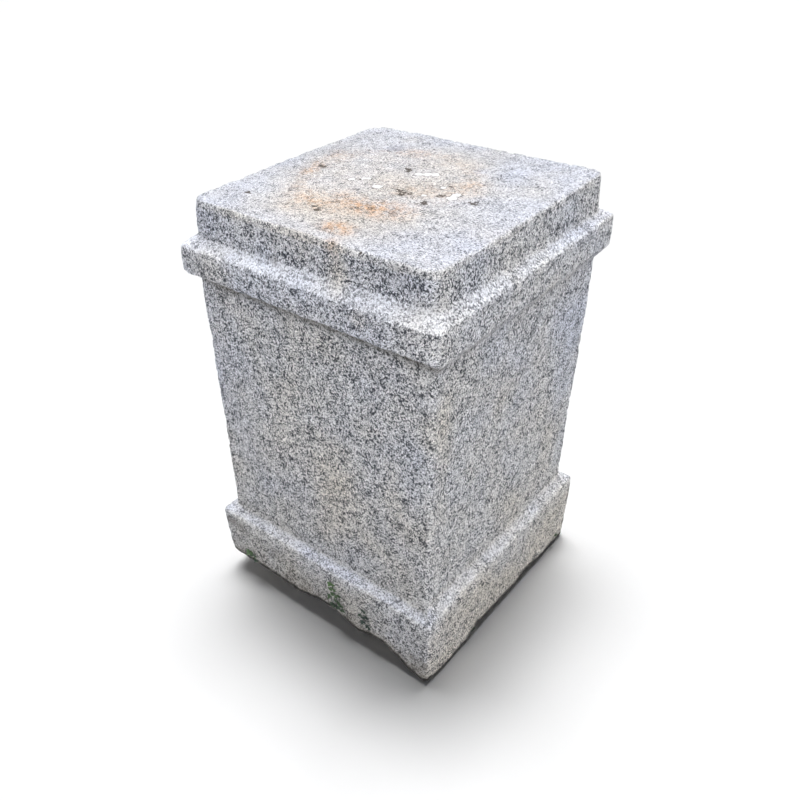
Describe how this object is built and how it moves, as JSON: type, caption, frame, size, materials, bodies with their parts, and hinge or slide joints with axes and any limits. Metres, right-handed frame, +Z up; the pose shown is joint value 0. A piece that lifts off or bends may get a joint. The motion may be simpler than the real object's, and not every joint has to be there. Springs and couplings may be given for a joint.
{
  "type": "granite plinth",
  "caption": "Square plinth of weathered salt-and-pepper granite, with a cap, a raised band, a plain shaft and a splayed base with a broken lower edge.",
  "frame": {"origin": "on the ground, at the middle of the plinth's plan", "axes": "+Z up the plinth's axis; -Y out of the front face, the left one of the two faces in the picture; +X out of the right face"},
  "size_m": [0.526, 0.526, 0.814],
  "materials": {
    "granite": "matte",
    "greenery": "matte"
  },
  "bodies": {
    "root": {"granite_plinth": "granite"}
  },
  "joints": []
}
